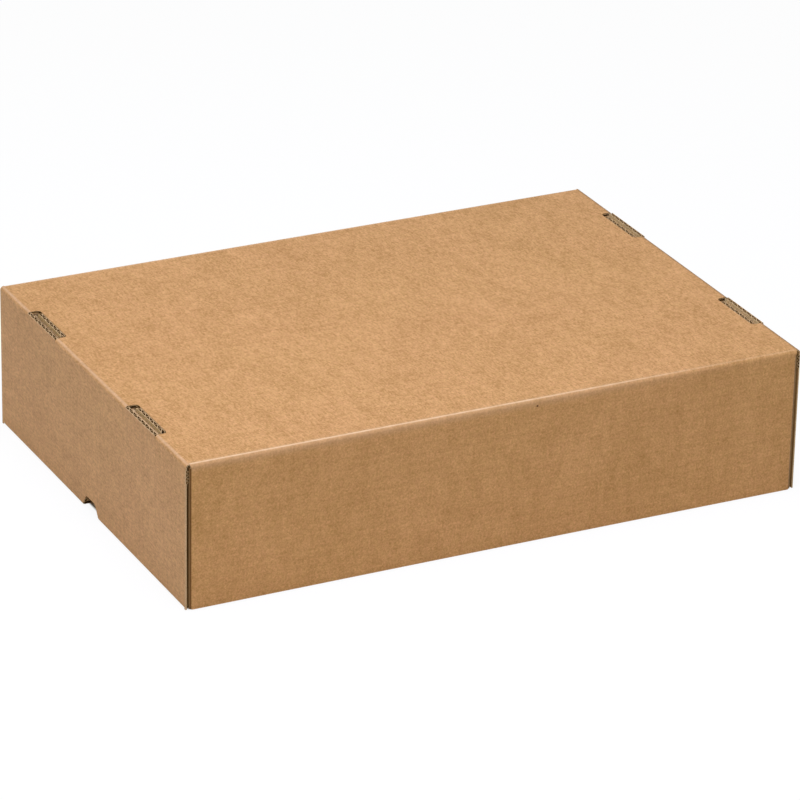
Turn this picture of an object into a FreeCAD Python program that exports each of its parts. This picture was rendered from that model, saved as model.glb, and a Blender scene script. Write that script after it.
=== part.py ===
# Closed cardboard box: a full telescope lid over a tray, each folded from one sheet of
# corrugated board and locked without glue.
#
# Both pieces are the same kind of folded sheet. A long side wall stands on each long edge of
# the panel, with a flap at each end that turns round the corner. The short end wall rolls
# over the flaps: an outer panel, a strip as wide as the whole wall, and an inner panel whose
# two tabs lock into slots cut at the end fold.
#
# Frame, in mm: origin at the middle of the tray's underside, X along the length, Y across
# the width, Z up. The lid is the same form turned upside down.

import FreeCAD, Part
import math
import os
import Sketcher

SHEET = "Sizes"

# The driving dimensions: name, length and what it measures.
SIZES = [
    ("inside_length", 430.0, "tray, between the inner end panels"),
    ("inside_width", 316.0, "tray, between the long side walls"),
    ("inside_depth", 102.0, "tray, from its panel to its rim"),
    ("board", 3.0, "thickness of the corrugated board"),
    ("layer_gap", 0.2, "play between folded layers"),
    ("side_clearance", 1.5, "play between tray and lid on each side"),
    ("seat_gap", 0.3, "from the tray's rim to the lid's panel"),
    ("floor_gap", 0.8, "from the floor to the lid's rim"),
    ("side_fold_radius", 2.5, "outside of the folds along the length"),
    ("end_fold_radius", 2.8, "outside of the folds across the ends"),
    ("roll_fold_radius", 2.0, "outside of the two folds of a rolled rim"),
    ("corner_fold_radius", 2.2, "outside of the upright corner folds"),
    ("end_panel_inset", 1.2, "end panel's cut edge behind the side wall's face"),
    ("flap_length", 115.0, "corner flap, from the outside of the side wall"),
    ("flap_corner_radius", 12.0, "free corners of a corner flap"),
    ("slot_length", 51.0, "lock slot, along the end fold"),
    ("slot_offset", 87.5, "lock slot's middle from the middle of the end"),
    ("slot_corner_radius", 3.0, "inner corners of a lock slot"),
    ("slot_lip", 0.8, "cut edge of the end panel below the face, in a slot"),
    ("tab_length", 43.0, "lock tab, along the end fold"),
    ("tab_recess", 0.3, "lock tab's edge below the face"),
    ("tab_corner_radius", 1.8, "free corners of a lock tab"),
    ("notch_width", 29.0, "thumb notch in the lid's ends, at the rim"),
    ("notch_crown", 16.0, "thumb notch, at its deepest"),
    ("notch_depth", 10.0, "thumb notch, from the rim"),
    ("notch_corner_radius", 5.0, "thumb notch's inner corners"),
]

# How a sketch constraint names its own origin, and the two ends of a line or arc.
SKETCH_ORIGIN = (-1, 1)
START = 1
END = 2


class Size:
    """A length that knows its number and the expression on the sheet that gives it."""

    def __init__(self, value, text):
        self.value = value
        self.text = text

    def __add__(self, other):
        other = as_size(other)
        return Size(self.value + other.value, f"({self.text} + {other.text})")

    def __sub__(self, other):
        other = as_size(other)
        return Size(self.value - other.value, f"({self.text} - {other.text})")

    def __truediv__(self, number):
        return Size(self.value / number, f"({self.text} / {number})")

    def __rmul__(self, number):
        return Size(number * self.value, f"({number} * {self.text})")

    def __neg__(self):
        return -1 * self


def as_size(length):
    """A plain number as a Size; a Size stays as it is."""
    if isinstance(length, Size):
        return length
    return Size(float(length), str(float(length)))


def make_sheet(doc):
    """Put the driving dimensions on a sheet and return them by name."""
    sheet = doc.addObject("Spreadsheet::Sheet", SHEET)
    sizes = {}
    for row, (alias, length, note) in enumerate(SIZES, start=1):
        sheet.set(f"A{row}", note)
        sheet.set(f"B{row}", str(length))
        sheet.setAlias(f"B{row}", alias)
        sizes[alias] = Size(length, f"{SHEET}.{alias}")
    doc.recompute()
    return sizes


def origin_plane(body, role):
    """One of the body's own three origin planes."""
    for feature in body.Origin.OriginFeatures:
        if feature.Role == role:
            return feature
    raise RuntimeError(f"{body.Label} has no {role}")


def new_sketch(body, name, role, offset=None):
    """A sketch on an origin plane, or moved off it along its normal by offset."""
    sketch = body.newObject("Sketcher::SketchObject", name)
    sketch.AttachmentSupport = (origin_plane(body, role), [""])
    sketch.MapMode = "FlatFace"
    if offset is not None:
        sketch.setExpression("AttachmentOffset.Base.z", offset.text)
    return sketch


class Corner:
    """A corner of a sketch outline, sharp or rounded."""

    def __init__(self, x, y, radius=None):
        self.x = as_size(x)
        self.y = as_size(y)
        self.radius = radius
        self.point = FreeCAD.Vector(self.x.value, self.y.value, 0)
        self.arrive = self.point
        self.leave = self.point

    def round_between(self, before, after):
        """Find where the corner's arc leaves the two straight runs beside it."""
        to_before = (before.point - self.point).normalize()
        to_after = (after.point - self.point).normalize()
        reach = self.radius.value / math.tan(to_before.getAngle(to_after) / 2)
        self.arrive = self.point + to_before * reach
        self.leave = self.point + to_after * reach
        middle = (to_before + to_after).normalize()
        distance = math.hypot(self.radius.value, reach)
        self.centre = self.point + middle * distance
        self.turns_left = (-to_before).cross(to_after).z > 0


def set_dimension(sketch, kind, places, size):
    """Add a dimension to the sketch, bound to the expression of its size."""
    index = sketch.addConstraint(Sketcher.Constraint(kind, *places, size.value))
    sketch.setExpression(f"Constraints[{index}]", size.text)


def add_arc(sketch, corner):
    """Draw a rounded corner's arc and name the ends that meet the runs before and after."""
    first, last = (corner.arrive, corner.leave) if corner.turns_left else (corner.leave, corner.arrive)
    circle = Part.Circle(corner.centre, FreeCAD.Vector(0, 0, 1), corner.radius.value)
    arc = Part.ArcOfCircle(circle, circle.parameter(first), circle.parameter(last))
    index = sketch.addGeometry(arc)
    set_dimension(sketch, "Radius", (index,), corner.radius)
    return (index, START, END) if corner.turns_left else (index, END, START)


def hold_run(sketch, run, start, end):
    """Hold a run square to the axes where its corners share a coordinate."""
    if start.x.text == end.x.text:
        sketch.addConstraint(Sketcher.Constraint("Vertical", run))
        set_dimension(sketch, "DistanceX", (*SKETCH_ORIGIN, run, START), start.x)
        return True
    if start.y.text == end.y.text:
        sketch.addConstraint(Sketcher.Constraint("Horizontal", run))
        set_dimension(sketch, "DistanceY", (*SKETCH_ORIGIN, run, START), start.y)
        return True
    return False


def hold_slanted_end(sketch, corner, before, after):
    """Fix where two runs cross, for a corner between a slanted run and a level one."""
    point = sketch.addGeometry(Part.Point(corner.point), True)
    sketch.addConstraint(Sketcher.Constraint("PointOnObject", point, START, before))
    sketch.addConstraint(Sketcher.Constraint("PointOnObject", point, START, after))
    set_dimension(sketch, "DistanceX", (*SKETCH_ORIGIN, point, START), corner.x)


def draw_outline(sketch, corners):
    """Draw a closed outline through the corners, fully held by their expressions."""
    count = len(corners)
    for i, corner in enumerate(corners):
        if corner.radius is not None:
            corner.round_between(corners[i - 1], corners[(i + 1) % count])
    runs = []
    for i, corner in enumerate(corners):
        line = Part.LineSegment(corner.leave, corners[(i + 1) % count].arrive)
        runs.append(sketch.addGeometry(line))
    square = [hold_run(sketch, run, corners[i], corners[(i + 1) % count]) for i, run in enumerate(runs)]
    for i, corner in enumerate(corners):
        before = runs[i - 1]
        after = runs[i]
        if corner.radius is None:
            sketch.addConstraint(Sketcher.Constraint("Coincident", before, END, after, START))
        else:
            arc, near_before, near_after = add_arc(sketch, corner)
            sketch.addConstraint(Sketcher.Constraint("Tangent", before, END, arc, near_before))
            sketch.addConstraint(Sketcher.Constraint("Tangent", arc, near_after, after, START))
        if not (square[i - 1] and square[i]):
            hold_slanted_end(sketch, corner, before, after)


def rectangle(x_low, x_high, y_low, y_high):
    return [Corner(x_low, y_low), Corner(x_high, y_low), Corner(x_high, y_high), Corner(x_low, y_high)]


def pad(body, name, sketch, length, symmetric=False):
    """Thicken a sketch, along its normal or equally to both sides of its plane."""
    feature = body.newObject("PartDesign::Pad", name)
    feature.Profile = sketch
    feature.SideType = "Symmetric" if symmetric else "One side"
    feature.setExpression("Length", length.text)
    body.Tip = feature
    return feature


def pocket(body, name, sketch, depth=None, symmetric=False):
    """Cut a sketch along its normal to a depth, or right through where none is given."""
    feature = body.newObject("PartDesign::Pocket", name)
    feature.Profile = sketch
    feature.SideType = "Symmetric" if symmetric else "One side"
    feature.Reversed = not symmetric
    if depth is None:
        feature.Type = "ThroughAll"
    else:
        feature.setExpression("Length", depth.text)
    body.Tip = feature
    return feature


class FoldedTray:
    """One sheet folded into a tray, open side up, with its panel's underside at Z = 0."""

    def __init__(self, doc, label, sizes, length, width, height):
        self.body = doc.addObject("PartDesign::Body", label)
        self.body.Label = label
        self.sizes = sizes
        self.half_length = length / 2
        self.half_width = width / 2
        self.height = height
        self.board = sizes["board"]
        self.gap = sizes["layer_gap"]
        self.end_wall = end_wall_thickness(sizes)
        # Outside faces of the three layers of the end wall, from the middle of the tray.
        self.outer_face = self.half_length
        self.flap_face = self.outer_face - self.board - self.gap
        self.inner_face = self.flap_face - self.board - self.gap

    def build(self):
        """Fold one end, mirror it to the other, and return the body."""
        self.panel_and_side_walls()
        one_end = [
            self.corner_flaps(),
            self.corner_folds(),
            self.end_panel(),
            self.rolled_rim_and_inner_panel(),
            self.lock_tabs(),
            self.lock_slots(),
            self.slot_lips(),
        ]
        other_end = self.body.newObject("PartDesign::Mirrored", "other_end")
        other_end.Originals = one_end
        other_end.MirrorPlane = (origin_plane(self.body, "YZ_Plane"), [""])
        self.body.Tip = other_end
        return self.body

    def panel_and_side_walls(self):
        """The panel with its two long walls: a U in section, up to the flaps' outside face."""
        c = self.half_width
        b = self.board
        fold = self.sizes["side_fold_radius"]
        sketch = new_sketch(self.body, "side_section", "YZ_Plane")
        draw_outline(sketch, [
            Corner(-c, as_size(0), fold),
            Corner(c, as_size(0), fold),
            Corner(c, self.height),
            Corner(c - b, self.height),
            Corner(c - b, b),
            Corner(b - c, b),
            Corner(b - c, self.height),
            Corner(-c, self.height),
        ])
        return pad(self.body, "panel_and_side_walls", sketch, 2 * self.flap_face, symmetric=True)

    def corner_flaps(self):
        """The flaps that turn in from the side walls, clear of the panel and the rolled rim."""
        root = self.half_width - self.board / 2
        tip = self.half_width - self.sizes["flap_length"]
        low = self.board + self.gap
        high = self.height - self.board - self.gap
        round_off = self.sizes["flap_corner_radius"]
        sketch = new_sketch(self.body, "flap_outline", "YZ_Plane", self.flap_face - self.board)
        draw_outline(sketch, [
            Corner(tip, low, round_off),
            Corner(root, low),
            Corner(root, high),
            Corner(tip, high, round_off),
        ])
        draw_outline(sketch, [
            Corner(-root, low),
            Corner(-tip, low, round_off),
            Corner(-tip, high, round_off),
            Corner(-root, high),
        ])
        return pad(self.body, "corner_flaps", sketch, self.board)

    def corner_folds(self):
        """Round the outside of the upright folds between side walls and flaps."""
        play = self.gap / 2
        face = self.flap_face
        fold = self.sizes["corner_fold_radius"]
        side = self.half_width
        sketch = new_sketch(self.body, "corner_fold_outline", "XY_Plane", self.board)
        draw_outline(sketch, [
            Corner(face, side - fold - play),
            Corner(face + play, side - fold - play),
            Corner(face + play, side + play),
            Corner(face - fold - play, side + play),
            Corner(face - fold - play, side),
            Corner(face, side, fold),
        ])
        draw_outline(sketch, [
            Corner(face, -side, fold),
            Corner(face - fold - play, -side),
            Corner(face - fold - play, -side - play),
            Corner(face + play, -side - play),
            Corner(face + play, fold + play - side),
            Corner(face, fold + play - side),
        ])
        return pocket(self.body, "corner_folds", sketch)

    def end_panel(self):
        """The outer end panel, folded off the end of the panel, with its rolled rim's fold."""
        a = self.outer_face
        b = self.board
        sketch = new_sketch(self.body, "end_section", "XZ_Plane")
        draw_outline(sketch, [
            Corner(self.flap_face, as_size(0)),
            Corner(a, as_size(0), self.sizes["end_fold_radius"]),
            Corner(a, self.height, self.sizes["roll_fold_radius"]),
            Corner(a - b, self.height),
            Corner(a - b, b),
            Corner(self.flap_face, b),
        ])
        width = 2 * (self.half_width - self.sizes["end_panel_inset"])
        return pad(self.body, "end_panel", sketch, width, symmetric=True)

    def rolled_rim_and_inner_panel(self):
        """The strip over the flaps and the inner panel behind them, between the side walls."""
        a = self.outer_face
        b = self.board
        inside = a - self.end_wall
        roll = self.sizes["roll_fold_radius"]
        below = self.height - 2 * b
        sketch = new_sketch(self.body, "rolled_section", "XZ_Plane")
        draw_outline(sketch, [
            Corner(a - b, below),
            Corner(a, below),
            Corner(a, self.height, roll),
            Corner(inside, self.height, roll),
            Corner(inside, b + self.gap),
            Corner(inside + b, b + self.gap),
            Corner(inside + b, self.height - b),
            Corner(a - b, self.height - b),
        ])
        width = 2 * (self.half_width - b - self.gap)
        return pad(self.body, "rolled_rim_and_inner_panel", sketch, width, symmetric=True)

    def lock_tabs(self):
        """The inner panel's two tabs, which reach into the slots."""
        half = self.sizes["tab_length"] / 2
        offset = self.sizes["slot_offset"]
        low = self.sizes["tab_recess"]
        high = 2 * self.board
        round_off = self.sizes["tab_corner_radius"]
        sketch = new_sketch(self.body, "tab_outline", "YZ_Plane", self.outer_face - self.end_wall)
        for middle in (-offset, offset):
            draw_outline(sketch, [
                Corner(middle - half, low, round_off),
                Corner(middle + half, low, round_off),
                Corner(middle + half, high),
                Corner(middle - half, high),
            ])
        return pad(self.body, "lock_tabs", sketch, self.board)

    def lock_slots(self):
        """Two slots through the panel, as wide as the flap and the inner panel together."""
        half = self.sizes["slot_length"] / 2
        offset = self.sizes["slot_offset"]
        inside = self.outer_face - self.end_wall - self.gap
        outside = self.outer_face - self.board
        round_off = self.sizes["slot_corner_radius"]
        sketch = new_sketch(self.body, "slot_outline", "XY_Plane")
        for middle in (-offset, offset):
            draw_outline(sketch, [
                Corner(inside, middle - half, round_off),
                Corner(outside, middle - half),
                Corner(outside, middle + half),
                Corner(inside, middle + half, round_off),
            ])
        return pocket(self.body, "lock_slots", sketch, self.board)

    def slot_lips(self):
        """The end panel's cut edge in each slot, a little below the panel's face."""
        half = self.sizes["slot_length"] / 2
        offset = self.sizes["slot_offset"]
        inside = self.outer_face - self.board - self.gap
        outside = self.outer_face + self.gap
        sketch = new_sketch(self.body, "lip_outline", "XY_Plane")
        for middle in (-offset, offset):
            draw_outline(sketch, rectangle(inside, outside, middle - half, middle + half))
        return pocket(self.body, "slot_lips", sketch, self.sizes["slot_lip"])


def end_wall_thickness(sizes):
    """Outer panel, corner flap and inner panel, with their play."""
    return 3 * sizes["board"] + 2 * sizes["layer_gap"]


def cut_thumb_notches(body, sizes, height):
    """A notch with slanted sides in the middle of both end walls, open at the rim."""
    half_rim = sizes["notch_width"] / 2
    half_crown = sizes["notch_crown"] / 2
    depth = sizes["notch_depth"]
    # The slanted sides are carried on past the rim, so that the cut leaves no skin there.
    half_top = 2 * half_rim - half_crown
    round_off = sizes["notch_corner_radius"]
    sketch = new_sketch(body, "notch_outline", "YZ_Plane")
    draw_outline(sketch, [
        Corner(-half_crown, height - depth, round_off),
        Corner(half_crown, height - depth, round_off),
        Corner(half_top, height + depth),
        Corner(-half_top, height + depth),
    ])
    pocket(body, "thumb_notches", sketch, symmetric=True)


def make_tray(doc, sizes):
    length = sizes["inside_length"] + 2 * end_wall_thickness(sizes)
    width = sizes["inside_width"] + 2 * sizes["board"]
    height = sizes["inside_depth"] + sizes["board"]
    return FoldedTray(doc, "tray", sizes, length, width, height).build()


def make_lid(doc, sizes):
    """The lid goes over the tray, a side clearance larger all round, and turned over."""
    around = 2 * sizes["side_clearance"]
    length = sizes["inside_length"] + 4 * end_wall_thickness(sizes) + around
    width = sizes["inside_width"] + 4 * sizes["board"] + around
    top = sizes["inside_depth"] + sizes["seat_gap"] + 2 * sizes["board"]
    height = top - sizes["floor_gap"]
    body = FoldedTray(doc, "lid", sizes, length, width, height).build()
    cut_thumb_notches(body, sizes, height)
    body.Placement = FreeCAD.Placement(FreeCAD.Vector(), FreeCAD.Rotation(FreeCAD.Vector(1, 0, 0), 180))
    body.setExpression("Placement.Base.z", top.text)
    return body


def check_document(doc):
    """Stop if any object of the document failed to compute."""
    failed = [item.Label for item in doc.Objects if {"Invalid", "Error"} & set(item.State)]
    if failed:
        raise RuntimeError("failed: " + ", ".join(failed))


def check_solid(body):
    """Stop unless the body is one valid solid, as one folded sheet is."""
    shape = body.Shape
    if shape.isNull() or not shape.isValid() or len(shape.Solids) != 1:
        raise RuntimeError(f"{body.Label} is not one valid solid")


def main():
    doc = FreeCAD.newDocument("cardboard_box")
    sizes = make_sheet(doc)
    bodies = [make_tray(doc, sizes), make_lid(doc, sizes)]
    doc.recompute()
    check_document(doc)
    for body in bodies:
        check_solid(body)
    os.makedirs("parts", exist_ok=True)
    for body in bodies:
        body.Shape.exportStep(f"parts/{body.Label}.step")
        print(body.Label, body.Shape.BoundBox, round(body.Shape.Volume))


main()
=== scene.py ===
# Closed cardboard box: corrugated board, its folds and cut edges, and its kraft paper, built
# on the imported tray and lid.
#
# Each piece starts as a flat die-cut sheet of three layers: a liner on each face and a wavy
# medium between them. On the flat sheet u runs with the flutes, v across them and w through
# the board from its outside face. One mapping folds every point of the sheet to its place, so
# that all three layers turn at the folds together and show at the cut edges.

import math

import bmesh
import bpy
import numpy as np
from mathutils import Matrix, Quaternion, Vector


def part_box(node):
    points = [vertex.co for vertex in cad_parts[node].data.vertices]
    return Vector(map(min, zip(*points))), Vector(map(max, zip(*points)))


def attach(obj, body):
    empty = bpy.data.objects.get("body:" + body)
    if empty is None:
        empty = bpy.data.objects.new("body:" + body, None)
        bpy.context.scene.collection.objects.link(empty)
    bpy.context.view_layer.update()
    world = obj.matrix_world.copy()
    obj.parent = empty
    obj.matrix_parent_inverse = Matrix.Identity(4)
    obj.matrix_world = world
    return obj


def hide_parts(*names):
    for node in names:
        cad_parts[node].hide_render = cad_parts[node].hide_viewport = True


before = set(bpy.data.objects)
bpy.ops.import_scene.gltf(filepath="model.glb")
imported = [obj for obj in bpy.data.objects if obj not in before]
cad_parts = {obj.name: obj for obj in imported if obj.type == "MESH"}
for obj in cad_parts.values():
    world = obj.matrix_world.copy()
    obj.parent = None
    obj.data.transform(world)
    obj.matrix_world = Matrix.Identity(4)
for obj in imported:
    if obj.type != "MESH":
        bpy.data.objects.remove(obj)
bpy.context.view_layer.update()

# Board, in metres
BOARD = 0.0030
LINER = 0.0004
MEDIUM = 0.00045
FLUTE_PITCH = 0.0068
# How far the flutes wander off their line along the sheet
FLUTE_SKEW = 0.012
# A place on the sheet, along and across, where a flute's crest meets the inside liner
FLUTE_CREST = (-0.29, 0.1677)
FLUTE_SAMPLES = 8

# Folds and play, in metres
LAYER_GAP = 0.0002
END_WALL = 3 * BOARD + 2 * LAYER_GAP
SIDE_FOLD = 0.0025
END_FOLD = 0.0028
ROLL_FOLD = 0.0020
CORNER_FOLD = 0.0022
END_INSET = 0.0012
# How far before the corner's fold the cut beside the flap ends
CUT_BACK = 0.001
QUARTER = math.pi / 2
# Width of a knife's cut in the flat sheet
SLIT = 0.0002

# Flaps, slots, tabs and notches, in metres
FLAP_LENGTH = 0.115
FLAP_CORNER = 0.012
SLOT_LENGTH = 0.051
SLOT_OFFSET = 0.0875
SLOT_CORNER = 0.003
SLOT_LIP = 0.0005
LIP_END = 0.0004
TAB_LENGTH = 0.043
TAB_RECESS = 0.0003
TAB_CORNER = 0.0018
NOTCH_RIM = 0.029
NOTCH_CROWN = 0.016
NOTCH_DEPTH = 0.010
NOTCH_CORNER = 0.005

# The notch's slanted side, the turn to it from the crown, and where the corner's arc starts
NOTCH_SLANT = (NOTCH_RIM - NOTCH_CROWN) / 2
NOTCH_TURN = math.atan2(NOTCH_DEPTH, NOTCH_SLANT)
NOTCH_BEND = NOTCH_CROWN / 2 - NOTCH_CORNER * math.tan(NOTCH_TURN / 2)

# The medium's torn edge beside the upright corners, close to the panel
TEAR_REACH = 0.013
TEAR_PITCH = 0.0026
TEAR_DEPTH = 0.0016
TEAR_STEP = 0.00065
# How near to the board's faces the medium may come
MEDIUM_LIMIT = 0.9 * LINER

# How far the flat parts give, in metres, always towards the inside
PANEL_SAG = 0.0007
SIDE_BOW = 0.0006
END_BOW = 0.0002

# The middle of a dark speck in the lid's paper, on the flat sheet
SPECK = (0.0268, 0.1693, 0.0)

# Mesh: spacings in metres, then steps round the folds, the corners and the notch. The side
# folds and the panel have as many as the corners.
SAME_PLACE = 1e-6
WELD = 2e-6
END_MARGIN = 2e-5
STOP_SPACING = 0.00006
LEVEL_SPACING = 0.00003
LINER_ROWS = 0.018
FLAT_STRIDE = 0.060
NOTCH_FOOT = 0.002
LINER_STEPS = 5
MEDIUM_STEPS = 2
CORNER_STEPS = 4
NOTCH_STEPS = 6
SHARP = math.radians(35)
# The sheet's materials
OUTSIDE = 0
INSIDE = 1
WITHIN = 2
CUT_EDGE = 3

# Noise in the papers: grains per millimetre along u, v and w, then detail, roughness and curl
FIBRE = ((0.68, 0.66, 0.5), 2.0, 0.6, 0.6)
STREAK = ((0.6, 0.18, 0.5), 2.0, 0.5, 0.5)
MOTTLE = ((0.12, 0.06, 0.1), 3.0, 0.55, 0.6)
CLOUD = ((0.024, 0.015, 0.1), 2.0, 0.5, 0.5)
BLOTCH = ((0.26, 0.16, 0.3), 3.0, 0.65, 0.0)
DRIFT = ((0.009, 0.009, 0.1), 2.0, 0.5, 0.0)
MARK_PATCHES = ((0.12, 0.12, 0.3), 2.0, 0.6, 0.0)
STARCH = ((0.8, 0.8, 0.8), 3.0, 0.6, 0.0)
FLUFF = ((1.2, 1.2, 1.2), 2.0, 0.6, 0.0)

# The dark and the light brown of each paper, and its pinker and its yellower cast
OUTSIDE_BROWNS = ((0.435, 0.215, 0.059, 1), (0.725, 0.389, 0.150, 1))
INSIDE_BROWNS = ((0.56, 0.39, 0.155, 1), (0.84, 0.62, 0.30, 1))
# The browns within the board are darker than the paper is, as painted shade
WITHIN_BROWNS = ((0.18, 0.093, 0.025, 1), (0.42, 0.24, 0.085, 1))
EDGE_BROWNS = ((0.36, 0.225, 0.095, 1), (0.84, 0.58, 0.31, 1))
CASTS = ((1.03, 0.985, 1.08, 1), (0.97, 1.015, 0.92, 1))
# The streaks' weight on a side wall, what the panel and ends add to it, and the inside's
STREAKS_ON_SIDE = 0.25
STREAKS_ADDED = 0.85
STREAKS_INSIDE = 0.8
# How much stronger the panel's grain is
PANEL_CONTRAST = 0.25

# Marks painted on the papers. The end shade, corner shade and gap shade are painted shade; the
# side band is a painted highlight; the end and side lines are painted highlight and crease wear;
# the edge band is paler paper at the end walls' upright edges; the speck is a real dark speck.
# For each: how far from its line a mark is full and how far it is gone, in metres, its
# strength, and its colour
END_SHADE = (0.0006, 0.0020, 0.6, (0.26, 0.14, 0.055, 1))
END_EDGE_PALENESS = (0.0004, 0.0017, 0.35, (0.66, 0.47, 0.30, 1))
SIDE_HIGHLIGHT_BAND = (0.0004, 0.0065, 0.35, (0.68, 0.415, 0.22, 1))
END_HIGHLIGHT_AND_WEAR_LINE = (0.0003, 0.0017, 0.45, (0.78, 0.51, 0.30, 1))
SIDE_HIGHLIGHT_AND_WEAR_LINE = (0.0002, 0.0011, 0.75, (0.86, 0.60, 0.34, 1))
CORNER_SHADE = (0.0001, 0.0012, 0.9, (0.13, 0.05, 0.002, 1))
SPECK_MARK = (0.0004, 0.0010, 1.0, (0.10, 0.035, 0.01, 1))
GAP_SHADE = (0.0003, 0.0005, 0.7, (0.20, 0.09, 0.015, 1))
# How far past the start of its fold a crease's line lies, at an end and at a side
END_CREASE = 0.0010
SIDE_CREASE = 0.0005
# Along the side folds, between these places, the painted highlight and crease wear fade by this share
HIGHLIGHT_AND_RUB_FADE = (0.03, 0.20, 0.75)
# How far past its fold the corner's painted shade is whole, and over how far the end wall's paler
# edge comes in
CORNER_REACH = 0.002
END_WALL_START = 0.003

# Surface of the papers
GRAIN_DEPTH = 0.0002
GRAIN_STRENGTH = 0.35
PAPER_IOR = 1.45
PAPER_GLOSS = 0.12
SHEEN_ROUGHNESS = 0.5
LINER_SHEEN = 0.2
OUTSIDE_ROUGHNESS = 0.8
INSIDE_ROUGHNESS = 0.85
RAW_ROUGHNESS = 0.9

# Camera: angles in degrees, places in metres
CAMERA_AZIMUTH = 26.6125
CAMERA_ELEVATION = 24.4110
CAMERA_ROLL = 1.1605
CAMERA_DISTANCE = 3.4408
CAMERA_TARGET = (0.00458, 0.0, 0.04319)
CAMERA_LENS_MM = 216.718
CAMERA_SENSOR_MM = 36.0

# Stage
FLOOR_SIZE = 14.0
FLOOR_WHITENING = 0.9
FLOOR_GLOW = 1.03
# How far in from the lid's outside the floor's own shade begins, and is whole
SHADE_START = 0.0048
SHADE_WHOLE = 0.0070
AMBIENT = 0.36
AMBIENT_COLOUR = (1, 1, 0.82, 1)
WHITE = (1, 1, 1, 1)
CARD = (0.85, 0.85, 0.85, 1)
LIGHT_AIM = (0, 0, 0.05)
# Soft lights: name, place and width in metres, power in watts and colour
LIGHTS = [
    ("top_light", (-0.2, -0.25, 1.3), 1.0, 13.0, (0.985, 1.03, 1.43)),
    ("front_light", (-1.7, -1.5, 1.0), 1.2, 1.45, (1.0, 0.92, 0.62)),
    ("left_light", (-2.1, 0.9, 1.2), 1.4, 2.5, (0.97, 1.015, 0.68)),
]


def fold_up(run, depth, folds):
    """Fold a flat run of board up a right angle at each (start, outside radius) of folds.

    The result is complex: how far each point goes forward, plus 1j times how far up. Depth
    is measured from the outside face. Past a fold's centre the board is crushed into its
    inside corner.
    """
    heading = 1.0 + 0.0j
    origin = 0.0 + 0.0j
    begin = 0.0
    held_back = np.zeros_like(run)
    place = run + 1j * depth
    for start, radius in folds:
        spare = radius - depth
        crushed = np.minimum(spare, 0.0)
        along = np.clip(run - begin, held_back, start - begin + crushed)
        straight = origin + heading * (along + 1j * depth)
        centre = origin + heading * (start - begin + 1j * radius)
        angle = np.clip((run - start) / radius, 0.0, QUARTER)
        swing = np.maximum(spare, 0.0) * (np.sin(angle) - 1j * np.cos(angle))
        arc = centre + heading * (swing + crushed * (1 - 1j))
        place = np.where(run >= begin, straight, place)
        place = np.where(run > start, arc, place)
        origin = centre + heading * radius
        begin = start + radius * QUARTER
        heading = heading * 1j
        held_back = -crushed
    straight = origin + heading * (np.maximum(run - begin, held_back) + 1j * depth)
    return np.where(run >= begin, straight, place)


def arc_steps(start, length, count):
    return [start + length * i / count for i in range(count + 1)]


def corner_steps(side, radius, towards):
    """Levels at which a rounded corner has a point, from its side towards its middle."""
    angles = arc_steps(0.0, QUARTER, CORNER_STEPS)
    return [side + towards * radius * (1 - math.cos(angle)) for angle in angles]


def corner_fall(distance, radius):
    """How far a rounded corner's edge falls back, at a distance in from its side."""
    missing = max(radius - distance, 0.0)
    return radius - math.sqrt(max(radius ** 2 - missing ** 2, 0.0))


def merge_steps(values, spacing):
    """Sorted values, without the later of any two closer than spacing."""
    kept = []
    for value in sorted(values):
        if not kept or value - kept[-1] > spacing:
            kept.append(value)
    return kept


def notch_drop(v):
    """How deep the thumb notch goes from the rim, at a distance across from its middle."""
    if v <= NOTCH_BEND:
        return NOTCH_DEPTH
    if v <= NOTCH_BEND + NOTCH_CORNER * math.sin(NOTCH_TURN):
        return NOTCH_DEPTH - NOTCH_CORNER + math.sqrt(NOTCH_CORNER ** 2 - (v - NOTCH_BEND) ** 2)
    return max(NOTCH_DEPTH * (NOTCH_RIM / 2 - v) / NOTCH_SLANT, 0.0)


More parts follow.
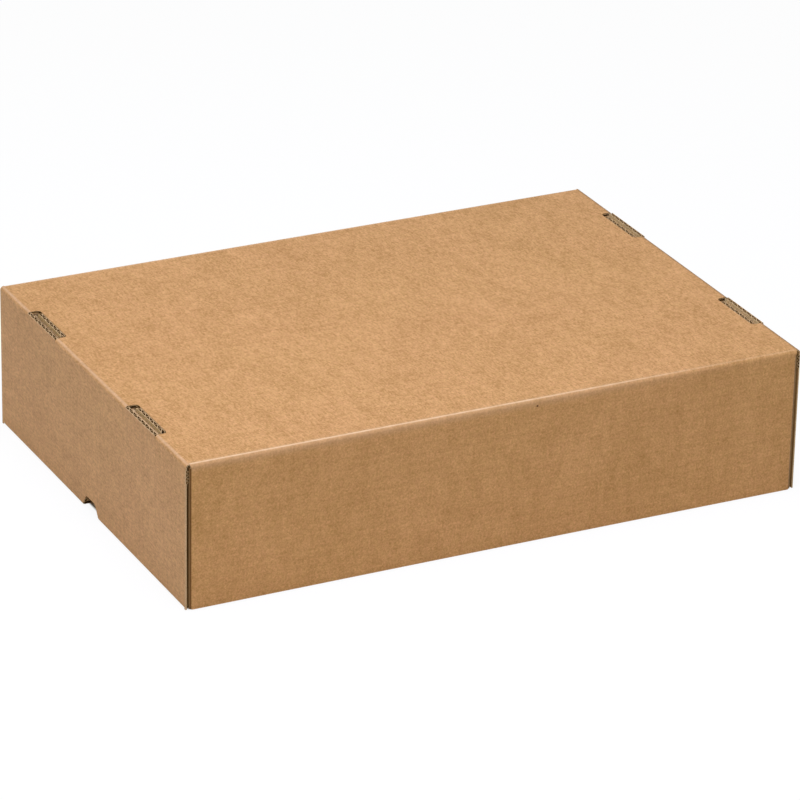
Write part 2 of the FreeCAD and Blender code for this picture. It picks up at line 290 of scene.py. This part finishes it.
class FoldedSheet:
    """The outline of one flat sheet and its fold into a tray, open side up."""

    def __init__(self, node, notched):
        low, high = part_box(node)
        self.node = node
        self.half_length = (high.x - low.x) / 2
        self.half_width = (high.y - low.y) / 2
        self.height = high.z - low.z
        self.notched = notched
        # Along u: panel, outer end panel, strip over the rim, inner panel and its tabs
        self.flap_face = self.half_length - BOARD - LAYER_GAP
        self.slot_edge = self.half_length - END_WALL - LAYER_GAP
        self.end_fold = self.half_length - END_FOLD
        self.end_panel = self.end_fold + QUARTER * END_FOLD
        self.slot_lip = self.end_panel - END_FOLD + SLOT_LIP
        self.ear_rim = self.end_panel + self.height - END_FOLD
        self.rim_fold = self.ear_rim - ROLL_FOLD
        self.strip = self.rim_fold + QUARTER * ROLL_FOLD
        self.inner_fold = self.strip + END_WALL - 2 * ROLL_FOLD
        self.inner_panel = self.inner_fold + QUARTER * ROLL_FOLD
        self.inner_foot = self.inner_panel + self.height - ROLL_FOLD - BOARD - LAYER_GAP
        self.tab_tip = self.inner_foot + BOARD + LAYER_GAP - TAB_RECESS
        # Along u: corner fold and flap, at the ends of a side wall
        self.corner_fold = self.flap_face - CORNER_FOLD
        self.corner_cut = self.corner_fold - CUT_BACK
        self.flap = self.corner_fold + QUARTER * CORNER_FOLD
        self.flap_tip = self.flap + FLAP_LENGTH - CORNER_FOLD
        # Across v: rolled part, end panel's edge, side wall and its flaps
        self.roll_edge = self.half_width - BOARD - LAYER_GAP
        self.side_fold = self.half_width - SIDE_FOLD
        self.ear_edge = self.half_width - END_INSET
        self.side_wall = self.side_fold + QUARTER * SIDE_FOLD
        self.flap_low = self.side_wall - SIDE_FOLD + BOARD + LAYER_GAP
        self.rim = self.side_wall + self.height - SIDE_FOLD
        self.flap_high = self.rim - BOARD - LAYER_GAP

    def stops(self, per_fold):
        """Places along u > 0 where the rows have points."""
        places = arc_steps(0.0, self.corner_cut, CORNER_STEPS)
        places += [self.corner_cut, self.flap_face, self.flap_face + SLIT, self.inner_foot]
        places += arc_steps(self.corner_fold, QUARTER * CORNER_FOLD, per_fold)
        places += arc_steps(self.end_fold, QUARTER * END_FOLD, per_fold)
        places += arc_steps(self.rim_fold, QUARTER * ROLL_FOLD, per_fold)
        places += arc_steps(self.inner_fold, QUARTER * ROLL_FOLD, per_fold)
        flat = self.rim_fold - self.end_panel
        count = math.ceil(flat / FLAT_STRIDE)
        places += arc_steps(self.end_panel, flat, count)
        places += arc_steps(self.inner_panel, self.inner_foot - self.inner_panel, count)
        return merge_steps(places, STOP_SPACING)

    def levels(self, spacing):
        """Places across v where the rows lie, on both sides of the middle."""
        places = [self.roll_edge, self.roll_edge + SLIT, self.side_fold, self.ear_edge]
        places += arc_steps(self.side_fold, QUARTER * SIDE_FOLD, CORNER_STEPS)
        places += [self.flap_low - SLIT, self.rim]
        places += corner_steps(self.flap_low, FLAP_CORNER, 1)
        places += corner_steps(self.flap_high, FLAP_CORNER, -1)
        for towards in (-1, 1):
            slot_side = SLOT_OFFSET - towards * SLOT_LENGTH / 2
            tab_side = SLOT_OFFSET - towards * TAB_LENGTH / 2
            places += corner_steps(slot_side, SLOT_CORNER, towards)
            places.append(slot_side + towards * LIP_END)
            places += corner_steps(tab_side, TAB_CORNER, towards)
        if self.notched:
            places += arc_steps(NOTCH_BEND, NOTCH_CORNER * math.sin(NOTCH_TURN), NOTCH_STEPS)
            places += arc_steps(NOTCH_RIM / 2 - NOTCH_FOOT, NOTCH_FOOT, CORNER_STEPS)
        fixed = merge_steps([-v for v in places] + [0.0] + places, LEVEL_SPACING)
        count = math.ceil(self.rim / spacing)
        even = [spacing * i for i in range(-count, count + 1)]
        near = np.abs(np.subtract.outer(even, fixed)).min(axis=1)
        between = [v for v, gap in zip(even, near) if gap > spacing / 4 and abs(v) < self.rim]
        return sorted(fixed + between)

    def notch_edge(self, v):
        """Where the thumb notch starts along u, on the outer end panel."""
        drop = notch_drop(v)
        if drop >= ROLL_FOLD:
            return self.rim_fold - (drop - ROLL_FOLD)
        return self.rim_fold + ROLL_FOLD * math.asin(1 - drop / ROLL_FOLD)

    def end_stretches(self, v, band):
        """Board along u through the end: the slot, the notch and the tab are cut here."""
        tab_side = TAB_LENGTH / 2 - abs(band - SLOT_OFFSET)
        slot_side = SLOT_LENGTH / 2 - abs(band - SLOT_OFFSET)
        reach = self.inner_foot
        if tab_side > 0:
            reach = self.tab_tip - corner_fall(TAB_LENGTH / 2 - abs(v - SLOT_OFFSET), TAB_CORNER)
        if slot_side > 0:
            fall = corner_fall(SLOT_LENGTH / 2 - abs(v - SLOT_OFFSET), SLOT_CORNER)
            start = self.slot_lip if slot_side > LIP_END else self.end_panel
            return [(0.0, self.slot_edge + fall), (start, reach)]
        if self.notched and band < NOTCH_RIM / 2:
            edge = self.notch_edge(v)
            return [(0.0, edge), (self.strip + self.inner_fold - edge, reach)]
        return [(0.0, reach)]

    def stretches(self, v, band):
        """Where there is board along u > 0, at a level v of the band of levels round band."""
        v = abs(v)
        band = abs(band)
        if band < self.roll_edge:
            return self.end_stretches(v, band)
        if band < self.roll_edge + SLIT:
            return [(0.0, self.rim_fold)]
        if band < self.side_fold:
            return [(0.0, self.ear_rim)]
        if band < self.ear_edge:
            return [(0.0, self.flap_face), (self.flap_face + SLIT, self.ear_rim)]
        if band < self.flap_low - SLIT:
            return [(0.0, self.flap_face)]
        if band < self.flap_low:
            return [(0.0, self.corner_cut)]
        if band > self.flap_high:
            return [(0.0, self.flap)]
        nearest = min(v - self.flap_low, self.flap_high - v)
        return [(0.0, self.flap_tip - corner_fall(nearest, FLAP_CORNER))]

    def folded(self, u, v, w):
        """Where points of the flat sheet are in the folded tray, as columns x, y and z."""
        along = np.abs(u)
        across = np.abs(v)
        rolls = [(self.end_fold, END_FOLD)]
        rolls += [(self.rim_fold, ROLL_FOLD), (self.inner_fold, ROLL_FOLD)]
        rolled = fold_up(along, w, rolls)
        in_slot = np.abs(across - SLOT_OFFSET) < SLOT_LENGTH / 2 - LIP_END / 2
        on_lip = in_slot & (along > self.end_fold) & (along < self.end_panel)
        upright = self.half_length - w + 1j * (END_FOLD + along - self.end_panel)
        rolled = np.where(on_lip, upright, rolled)
        ear = fold_up(along, w, rolls[:1])
        end = np.where(across < self.roll_edge + SLIT / 2, rolled, ear)
        side = fold_up(across, w, [(self.side_fold, SIDE_FOLD)])
        corner = fold_up(along, w, [(self.corner_fold, CORNER_FOLD)])
        turned = across > self.flap_low - SLIT / 2
        in_end = (along > self.flap_face + SLIT / 2) & (across < self.ear_edge + SLIT / 2)
        x = np.where(in_end, end.real, np.where(turned, corner.real, along))
        y = np.where(in_end, across, np.where(turned, self.half_width - corner.imag, side.real))
        z = np.where(in_end, end.imag, side.imag)
        return self.given(np.sign(u) * x, np.sign(v) * y, z)

    def given(self, x, y, z):
        """The slight sag of the panel and bow of the walls."""
        along = x / self.half_length
        across = y / self.half_width
        up = z / self.height
        free_along = 1 - along ** 2
        free_across = 1 - across ** 2
        bowed_x = x - END_BOW * along * free_across * up ** 2
        bowed_y = y - SIDE_BOW * across * free_along * up ** 2
        sagged_z = z + PANEL_SAG * free_along * free_across * (1 - up)
        return np.stack([bowed_x, bowed_y, sagged_z], axis=1)


class FlatMesh:
    """Points and faces of a flat sheet, in rows across the flutes."""

    def __init__(self, sheet, per_fold, row_spacing, tear_step=None):
        self.sheet = sheet
        self.points = []
        self.faces = []
        self.numbers = {}
        self.stops = sheet.stops(per_fold)
        self.ear_stops = self.stops
        if tear_step:
            fine = arc_steps(sheet.end_panel, TEAR_REACH, round(TEAR_REACH / tear_step))
            self.ear_stops = merge_steps(self.stops + fine, tear_step / 4)
        rows = sheet.levels(row_spacing)
        for low, high in zip(rows[:-1], rows[1:]):
            self.add_band(low, high)

    def add_band(self, low, high):
        """Join two neighbouring rows, over each stretch that has board."""
        middle = (low + high) / 2
        below = self.sheet.stretches(low, middle)
        above = self.sheet.stretches(high, middle)
        for first, second in zip(below, above):
            if first[0] == 0.0:
                lower = self.row(low, -first[1], first[1])
                self.zip_rows(lower, self.row(high, -second[1], second[1]))
            else:
                self.zip_rows(self.row(low, *first), self.row(high, *second))
                mirrored = self.row(low, -first[1], -first[0])
                self.zip_rows(mirrored, self.row(high, -second[1], -second[0]))

    def row(self, v, start, end):
        """Numbers of the points along one stretch of a row."""
        on_ear = self.sheet.roll_edge + SLIT / 2 < abs(v) < self.sheet.ear_edge + SLIT / 2
        stops = self.ear_stops if on_ear else self.stops
        inner = [u for u in stops if u > 0] + [-u for u in stops if u > 0] + [0.0]
        kept = sorted(u for u in inner if start + END_MARGIN < u < end - END_MARGIN)
        if end - start < SAME_PLACE:
            return [self.point(start, v)]
        return [self.point(u, v) for u in [start, *kept, end]]

    def point(self, u, v):
        key = (round(u / SAME_PLACE), round(v / SAME_PLACE))
        if key not in self.numbers:
            self.numbers[key] = len(self.points)
            self.points.append((u, v))
        return self.numbers[key]

    def zip_rows(self, lower, upper):
        """Fill the gap between two rows with quads and triangles."""
        i = 0
        j = 0
        while i < len(lower) - 1 or j < len(upper) - 1:
            next_low = self.points[lower[i + 1]][0] if i < len(lower) - 1 else math.inf
            next_high = self.points[upper[j + 1]][0] if j < len(upper) - 1 else math.inf
            corners = [upper[j], lower[i]]
            if next_low <= next_high + SAME_PLACE:
                i += 1
                corners.append(lower[i])
            if next_high <= next_low + SAME_PLACE:
                j += 1
                corners.append(upper[j])
            if len(set(corners)) == len(corners) > 2:
                self.faces.append(corners)

    def boundary(self):
        """Directed edges that belong to one face only."""
        edges = set()
        for face in self.faces:
            edges.update(zip(face, face[1:] + face[:1]))
        return [edge for edge in edges if edge[::-1] not in edges]


def torn_edge(sheet, u, v):
    """How torn the medium is at each point, from 0 to 1, and its zigzag there, from -1 to 1."""
    reach = np.abs(u) - sheet.end_panel
    beside = 1 - (sheet.ear_edge - np.abs(v)) / TEAR_DEPTH
    fading = np.minimum(reach / TEAR_PITCH, (TEAR_REACH - reach) / TEAR_PITCH)
    torn = np.clip(beside, 0, 1) * np.clip(fading, 0, 1)
    zigzag = 4 * np.abs((reach / TEAR_PITCH) % 1 - 0.5) - 1
    return torn, zigzag


def flute_wave(sheet, u, v, thickness):
    """Depth of the medium's two faces: a sine wave that runs between the liners."""
    turn = 2 * math.pi / FLUTE_PITCH
    phase = turn * (v - FLUTE_CREST[1] + FLUTE_SKEW * (u - FLUTE_CREST[0]))
    swing = (BOARD - 2 * LINER - MEDIUM) / 2
    slope = swing * turn * np.sin(phase)
    torn, zigzag = torn_edge(sheet, u, v)
    middle = BOARD / 2 + swing * (np.cos(phase) * (1 - torn) + zigzag * torn)
    half = thickness / 2 * np.sqrt(1 + slope ** 2)
    low = np.maximum(middle - half, MEDIUM_LIMIT)
    high = np.minimum(middle + half, BOARD - MEDIUM_LIMIT)
    return low, high


class BoardBuilder:
    """Collects the layers of one sheet as closed shells, folded to their place."""

    def __init__(self, sheet, to_place):
        self.sheet = sheet
        self.to_place = to_place
        self.flat = []
        self.places = []
        self.faces = []
        self.paper = []
        self.count = 0

    def add_layer(self, mesh, near, far, near_paper, far_paper):
        """A layer between two depths: near and far are given at each of the mesh's points."""
        u, v = np.array(mesh.points).T
        size = len(u)
        for w in (near, far):
            w = np.broadcast_to(w, u.shape)
            self.flat.append(np.stack([u, v, w], axis=1))
            self.places.append(self.to_place(self.sheet.folded(u, v, w)))
        first = self.count
        for face in mesh.faces:
            self.faces.append([first + i for i in reversed(face)])
            self.faces.append([first + size + i for i in face])
        self.paper += [near_paper, far_paper] * len(mesh.faces)
        for start, end in mesh.boundary():
            edge = [start, end, size + end, size + start]
            self.faces.append([first + i for i in edge])
            self.paper.append(CUT_EDGE)
        self.count += 2 * size

    def build(self, name, materials):
        mesh = bpy.data.meshes.new(name)
        mesh.from_pydata(np.concatenate(self.places).tolist(), [], self.faces)
        flat = mesh.attributes.new("sheet", "FLOAT_VECTOR", "POINT")
        flat.data.foreach_set("vector", np.concatenate(self.flat).astype(np.float32).ravel())
        for material in materials:
            mesh.materials.append(material)
        mesh.polygons.foreach_set("material_index", self.paper)
        clean_mesh(mesh)
        piece = bpy.data.objects.new(name, mesh)
        bpy.context.scene.collection.objects.link(piece)
        return piece


def clean_mesh(mesh):
    """Close up the crushed inside corners and keep the cut edges sharp."""
    work = bmesh.new()
    work.from_mesh(mesh)
    bmesh.ops.remove_doubles(work, verts=work.verts, dist=WELD)
    bmesh.ops.dissolve_degenerate(work, edges=work.edges, dist=WELD)
    bmesh.ops.recalc_face_normals(work, faces=work.faces)
    for face in work.faces:
        face.smooth = True
    for edge in work.edges:
        edge.smooth = edge.calc_face_angle(math.pi) < SHARP
    work.to_mesh(mesh)
    work.free()


class Signal:
    """A shader socket in an expression. The operators add Math nodes."""

    def __init__(self, shader, socket):
        self.shader = shader
        self.socket = socket

    def maths(self, operation, *terms):
        return self.shader.node("ShaderNodeMath", {"operation": operation}, dict(enumerate(terms)))

    def __add__(self, other):
        return self.maths("ADD", self, other)

    def __radd__(self, other):
        return self.maths("ADD", other, self)

    def __sub__(self, other):
        return self.maths("SUBTRACT", self, other)

    def __rsub__(self, other):
        return self.maths("SUBTRACT", other, self)

    def __mul__(self, other):
        return self.maths("MULTIPLY", self, other)

    def __rmul__(self, other):
        return self.maths("MULTIPLY", other, self)

    def __abs__(self):
        return self.maths("ABSOLUTE", self)

    def sine(self):
        return self.maths("SINE", self)

    def between(self, low, high):
        """0 below low, 1 above high, and smooth between them."""
        settings = {"interpolation_type": "SMOOTHSTEP"}
        inputs = {"Value": self, "From Min": low, "From Max": high}
        return self.shader.node("ShaderNodeMapRange", settings, inputs)


class Shader:
    """The nodes of a material or of the world."""

    def __init__(self, owner):
        owner.use_nodes = True
        self.tree = owner.node_tree
        self.tree.nodes.clear()

    def node(self, kind, settings=None, inputs=None, output=0):
        """Add a node, its settings first, then the values or links of its sockets."""
        made = self.tree.nodes.new(kind)
        for name, value in (settings or {}).items():
            setattr(made, name, value)
        for name, value in (inputs or {}).items():
            if isinstance(value, Signal):
                self.tree.links.new(value.socket, made.inputs[name])
            else:
                made.inputs[name].default_value = value
        return Signal(self, made.outputs[output] if made.outputs else None)

    def sheet_place(self):
        """The place on the flat sheet, as a vector of u, v and w in metres."""
        return self.node("ShaderNodeAttribute", {"attribute_name": "sheet"}, None, "Vector")

    def noise(self, place, pattern):
        """Noise about zero, in one of the patterns named above."""
        per_mm, detail, roughness, curl = pattern
        scale = [1000 * each for each in per_mm]
        scaled = self.node("ShaderNodeVectorMath", {"operation": "MULTIPLY"}, {0: place, 1: scale})
        inputs = {"Vector": scaled, "Scale": 1.0, "Detail": detail, "Roughness": roughness,
                  "Distortion": curl}
        return self.node("ShaderNodeTexNoise", {"noise_dimensions": "3D"}, inputs) - 0.5

    def mixed(self, factor, first, second, blend="MIX"):
        """Two colours mixed."""
        settings = {"data_type": "RGBA", "blend_type": blend}
        return self.node("ShaderNodeMix", settings, {0: factor, 6: first, 7: second}, output=2)

    def marked(self, colour, distance, where, mark):
        """A colour under one of the marks named above, at a distance from the mark's line."""
        full, none, strength, paint = mark
        return self.mixed((1 - distance.between(full, none)) * where * strength, colour, paint)

    def background_seen(self):
        """1 for a ray that shows the background itself, and 0 for one that only lights the object."""
        rays = ("Is Camera Ray", "Is Glossy Ray", "Is Transmission Ray")
        camera, glossy, through = [self.node("ShaderNodeLightPath", None, None, ray) for ray in rays]
        return camera + glossy + through

    def paper(self, colour, roughness, height, sheen=0.0):
        """A matt paper surface with a fine grain."""
        grain = {"Strength": GRAIN_STRENGTH, "Distance": GRAIN_DEPTH, "Height": height}
        bump = self.node("ShaderNodeBump", None, grain)
        inputs = {"Base Color": colour, "Roughness": roughness, "Normal": bump, "IOR": PAPER_IOR,
                  "Specular IOR Level": PAPER_GLOSS, "Sheen Weight": sheen,
                  "Sheen Roughness": SHEEN_ROUGHNESS}
        surface = self.node("ShaderNodeBsdfPrincipled", None, inputs)
        self.node("ShaderNodeOutputMaterial", None, {"Surface": surface})


def kraft_grain(shader, place, streaks):
    """Fine fibre grain, some streaks across the flutes, mottling and faint flute lines."""
    across = shader.node("ShaderNodeSeparateXYZ", None, {"Vector": place}, "Y")
    fibre = shader.noise(place, FIBRE)
    streak = shader.noise(place, STREAK)
    mottle = shader.noise(place, MOTTLE)
    cloud = shader.noise(place, CLOUD)
    flute = (across * (2 * math.pi / FLUTE_PITCH)).sine()
    tone = 0.5 + 1.7 * fibre + streaks * streak + 0.7 * mottle + 0.4 * cloud + 0.04 * flute
    return tone, fibre + 0.6 * streak


def kraft_colour(shader, place, tone, browns):
    """A kraft brown from dark to light, a little pinker or yellower from place to place."""
    tint = 0.5 + 1.15 * shader.noise(place, BLOTCH) + 0.5 * shader.noise(place, DRIFT)
    brown = shader.mixed(tone, *browns)
    cast = shader.mixed(tint, *CASTS)
    return shader.mixed(1.0, brown, cast, "MULTIPLY")


def outside_liner(sheet):
    """Brown kraft liner, with painted highlight and crease wear along its folds, a paler band
    at the end walls' upright edges, and painted shade at one end fold and in the corner gaps.
    """
    material = bpy.data.materials.new(sheet.node + "_outside_liner")
    shader = Shader(material)
    place = shader.sheet_place()
    lengthwise = shader.node("ShaderNodeSeparateXYZ", None, {"Vector": place}, "X")
    along = abs(lengthwise)
    across = abs(shader.node("ShaderNodeSeparateXYZ", None, {"Vector": place}, "Y"))
    between_walls = 1 - across.between(sheet.side_fold, sheet.side_wall)
    on_panel = between_walls * (1 - along.between(sheet.end_fold, sheet.end_panel))
    tone, grain = kraft_grain(shader, place, STREAKS_ON_SIDE + STREAKS_ADDED * between_walls)
    tone = 0.5 + (tone - 0.5) * (1 + PANEL_CONTRAST * on_panel)
    colour = kraft_colour(shader, place, tone, OUTSIDE_BROWNS)
    on_end = 1 - across.between(sheet.ear_edge, sheet.ear_edge + SLIT)
    on_side = 1 - along.between(sheet.flap_face, sheet.flap_face + SLIT)
    on_end_wall = along.between(sheet.end_panel, sheet.end_panel + END_WALL_START)
    above_panel = across.between(sheet.ear_edge, sheet.side_wall + CORNER_REACH)
    patchy = 1 + 1.2 * shader.noise(place, MARK_PATCHES)
    fade_start, fade_end, fade_loss = HIGHLIGHT_AND_RUB_FADE
    lit_and_rubbed = patchy * (1 - fade_loss * lengthwise.between(fade_start, fade_end))
    right_crease = abs(lengthwise - (sheet.end_fold + END_CREASE))
    left_crease = abs(-1 * lengthwise - (sheet.end_fold + END_CREASE))
    end_wall_edge = abs(across - sheet.ear_edge)
    side_foot = abs(across - (sheet.side_fold + SIDE_FOLD))
    side_crease = abs(across - (sheet.side_fold + SIDE_CREASE))
    corner = abs(along - sheet.flap_face)
    # Painted shade at the right end fold and beside the corner gaps, painted highlight with crease
    # wear along the side folds and the left end fold, and a paler band at the end walls' upright
    # edges
    colour = shader.marked(colour, right_crease, on_end, END_SHADE)
    colour = shader.marked(colour, end_wall_edge, on_end_wall * patchy, END_EDGE_PALENESS)
    # Painted highlight along the side folds, partly crease wear, fading towards one end
    colour = shader.marked(colour, side_foot, on_side * lit_and_rubbed, SIDE_HIGHLIGHT_BAND)
    colour = shader.marked(colour, left_crease, on_end * patchy, END_HIGHLIGHT_AND_WEAR_LINE)
    colour = shader.marked(colour, side_crease, on_side * lit_and_rubbed, SIDE_HIGHLIGHT_AND_WEAR_LINE)
    colour = shader.marked(colour, corner, above_panel, CORNER_SHADE)
    if sheet.notched:
        settings = {"operation": "DISTANCE"}
        apart = shader.node("ShaderNodeVectorMath", settings, {0: place, 1: SPECK}, "Value")
        colour = shader.marked(colour, apart, 1, SPECK_MARK)
    shader.paper(colour, OUTSIDE_ROUGHNESS, grain, LINER_SHEEN)
    return material


def inside_liner():
    """The inside face: the same paper, a little paler and yellower."""
    material = bpy.data.materials.new("inside_liner")
    shader = Shader(material)
    place = shader.sheet_place()
    tone, grain = kraft_grain(shader, place, STREAKS_INSIDE)
    colour = kraft_colour(shader, place, tone, INSIDE_BROWNS)
    shader.paper(colour, INSIDE_ROUGHNESS, grain, LINER_SHEEN)
    return material


def board_within():
    """The papers within the board, hardly reached by light, in browns darker than the paper's own as
    painted shade.
    """
    material = bpy.data.materials.new("board_within")
    shader = Shader(material)
    place = shader.sheet_place()
    grain = shader.noise(place, STARCH)
    # Painted shade: these browns are darker than the paper's own colour
    colour = shader.mixed(0.5 + grain, *WITHIN_BROWNS)
    shader.paper(colour, RAW_ROUGHNESS, grain)
    return material


def cut_edge(sheet):
    """The papers' cut edges, rough and pale with loose fibre, with painted shade on their inside half
    beside the corner gaps.
    """
    material = bpy.data.materials.new(sheet.node + "_cut_edge")
    shader = Shader(material)
    place = shader.sheet_place()
    across = abs(shader.node("ShaderNodeSeparateXYZ", None, {"Vector": place}, "Y"))
    depth = shader.node("ShaderNodeSeparateXYZ", None, {"Vector": place}, "Z")
    inner_half = depth.between(BOARD / 2, BOARD * 0.8)
    grain = shader.noise(place, FLUFF)
    colour = shader.mixed(0.5 + 1.4 * grain, *EDGE_BROWNS)
    # Painted shade on the inside half of the cut edge beside the corner gaps
    colour = shader.marked(colour, abs(across - sheet.ear_edge), inner_half, GAP_SHADE)
    shader.paper(colour, RAW_ROUGHNESS, grain)
    return material


def corrugated_sheet(node, notched, to_place, shared_papers):
    """The folded board of one node: two liners and the medium between them."""
    sheet = FoldedSheet(node, notched)
    builder = BoardBuilder(sheet, to_place)
    liner = FlatMesh(sheet, LINER_STEPS, LINER_ROWS)
    builder.add_layer(liner, 0.0, LINER, OUTSIDE, WITHIN)
    builder.add_layer(liner, BOARD - LINER, BOARD, WITHIN, INSIDE)
    medium = FlatMesh(sheet, MEDIUM_STEPS, FLUTE_PITCH / FLUTE_SAMPLES, TEAR_STEP)
    u, v = np.array(medium.points).T
    near, far = flute_wave(sheet, u, v, MEDIUM)
    builder.add_layer(medium, near, far, WITHIN, WITHIN)
    papers = [outside_liner(sheet), *shared_papers, cut_edge(sheet)]
    piece = builder.build(node + "_board", papers)
    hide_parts(node)
    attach(piece, node)


def upright(places):
    return places


def turned_over(top):
    """The lid is folded open side up, then turned over along its length, with its panel at top."""
    def turn(places):
        return places * (1, -1, -1) + (0, 0, top)
    return turn


def add_floor():
    """A pale floor. Seen or reflected it is near white, with a faint shadow of the box and the
    floor's own full shade under the lid.
    """
    bpy.ops.mesh.primitive_plane_add(size=FLOOR_SIZE)
    floor = bpy.context.object
    floor.name = "floor"
    material = bpy.data.materials.new("pale_floor")
    shader = Shader(material)
    card = shader.node("ShaderNodeBsdfDiffuse", None, {"Color": CARD})
    white = shader.node("ShaderNodeEmission", None, {"Color": WHITE, "Strength": FLOOR_GLOW})
    place = shader.node("ShaderNodeTexCoord", None, None, "Object")
    covered = 1
    for axis, edge in zip("XY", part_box("lid")[1]):
        off_middle = abs(shader.node("ShaderNodeSeparateXYZ", None, {"Vector": place}, axis))
        covered = covered * (1 - off_middle.between(edge - SHADE_WHOLE, edge - SHADE_START))
    whitened = shader.background_seen() * FLOOR_WHITENING * (1 - covered)
    surface = shader.node("ShaderNodeMixShader", None, {0: whitened, 1: card, 2: white})
    shader.node("ShaderNodeOutputMaterial", None, {"Surface": surface})
    floor.data.materials.append(material)


def add_world():
    """Even light from all round, and plain white where the camera looks past the floor."""
    world = bpy.data.worlds.new("studio")
    bpy.context.scene.world = world
    shader = Shader(world)
    seen = shader.background_seen()
    even = shader.node("ShaderNodeBackground", None, {"Color": AMBIENT_COLOUR, "Strength": AMBIENT})
    white = shader.node("ShaderNodeBackground", None, {"Color": WHITE, "Strength": 1.0})
    surface = shader.node("ShaderNodeMixShader", None, {0: seen, 1: even, 2: white})
    shader.node("ShaderNodeOutputWorld", None, {"Surface": surface})


def add_lights():
    aim = Vector(LIGHT_AIM)
    for name, place, width, power, colour in LIGHTS:
        lamp = bpy.data.lights.new(name, "AREA")
        lamp.size = width
        lamp.energy = power
        lamp.color = colour
        light = bpy.data.objects.new(name, lamp)
        light.location = place
        light.rotation_mode = "QUATERNION"
        light.rotation_quaternion = (Vector(place) - aim).to_track_quat("Z", "Y")
        bpy.context.scene.collection.objects.link(light)


def add_camera():
    azimuth = math.radians(CAMERA_AZIMUTH)
    elevation = math.radians(CAMERA_ELEVATION)
    level = math.cos(elevation)
    back = Vector((-math.sin(azimuth) * level, -math.cos(azimuth) * level, math.sin(elevation)))
    lens = bpy.data.cameras.new("camera")
    lens.lens = CAMERA_LENS_MM
    lens.sensor_width = CAMERA_SENSOR_MM
    camera = bpy.data.objects.new("camera", lens)
    camera.location = Vector(CAMERA_TARGET) + CAMERA_DISTANCE * back
    roll = Quaternion((0, 0, 1), math.radians(CAMERA_ROLL))
    camera.rotation_mode = "QUATERNION"
    camera.rotation_quaternion = back.to_track_quat("Z", "Y") @ roll
    bpy.context.scene.collection.objects.link(camera)
    bpy.context.scene.camera = camera


add_camera()
papers_of_both = [inside_liner(), board_within()]
corrugated_sheet("tray", False, upright, papers_of_both)
corrugated_sheet("lid", True, turned_over(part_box("lid")[1].z), papers_of_both)
add_floor()
add_world()
add_lights()
bpy.context.scene.view_settings.view_transform = "Standard"
